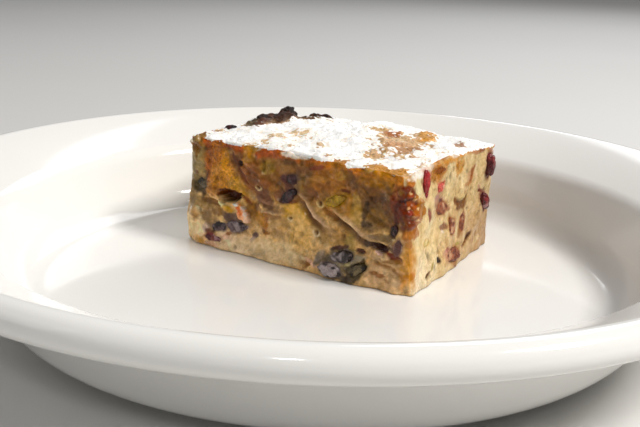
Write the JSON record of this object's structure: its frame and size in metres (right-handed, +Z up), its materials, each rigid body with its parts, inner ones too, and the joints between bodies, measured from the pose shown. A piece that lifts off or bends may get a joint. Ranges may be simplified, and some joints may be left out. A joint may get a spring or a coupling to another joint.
{
  "type": "bread pudding",
  "caption": "cut slab of baked bread pudding with dried fruit and a browned top, resting on a white round deep plate with a wide rim",
  "frame": {"origin": "middle of the plate's foot, on the surface that the plate stands on", "axes": "+Z up along the plate's turning axis; the slab's long cut side faces -Y and its short cut side faces +X"},
  "size_m": [0.28, 0.28, 0.0531],
  "materials": {
    "porcelain": "glossy white glaze",
    "pudding": "moist baked bread and custard, browned on top",
    "raisin": "wrinkled, slightly glossy",
    "prune": "smooth, moist",
    "burnt_fruit": "charred, dull",
    "cranberry": "wrinkled, slightly glossy",
    "sultana": "wrinkled, moist"
  },
  "bodies": {
    "root": {"burnt_fruit_back": "burnt_fruit", "burnt_fruit_edge": "burnt_fruit", "burnt_fruit_end": "burnt_fruit", "cranberry_back_end": "cranberry", "cranberry_back_mid": "cranberry", "cranberry_base_left": "cranberry", "cranberry_base_short": "cranberry", "cranberry_bit": "cranberry", "cranberry_end": "cranberry", "cranberry_far": "cranberry", "cranberry_top_far": "cranberry", "cranberry_top_near": "cranberry", "plate": "porcelain", "prune_base": "prune", "pudding": "pudding", "raisin_back_high": "raisin", "raisin_back_low": "raisin", "raisin_base_mid": "raisin", "raisin_base_right": "raisin", "raisin_end_high": "raisin", "raisin_end_low": "raisin", "raisin_left_edge": "raisin", "raisin_low_left": "raisin", "raisin_low_wide": "raisin", "raisin_mid": "raisin", "raisin_near_edge": "raisin", "raisin_short_brown": "raisin", "raisin_short_mid": "raisin", "raisin_short_small": "raisin", "raisin_short_thin": "raisin", "raisin_small_dark": "raisin", "raisin_top_small": "raisin", "raisin_upper_mid": "raisin", "sultana_back": "sultana", "sultana_end": "sultana", "sultana_mid": "sultana"}
  },
  "joints": []
}
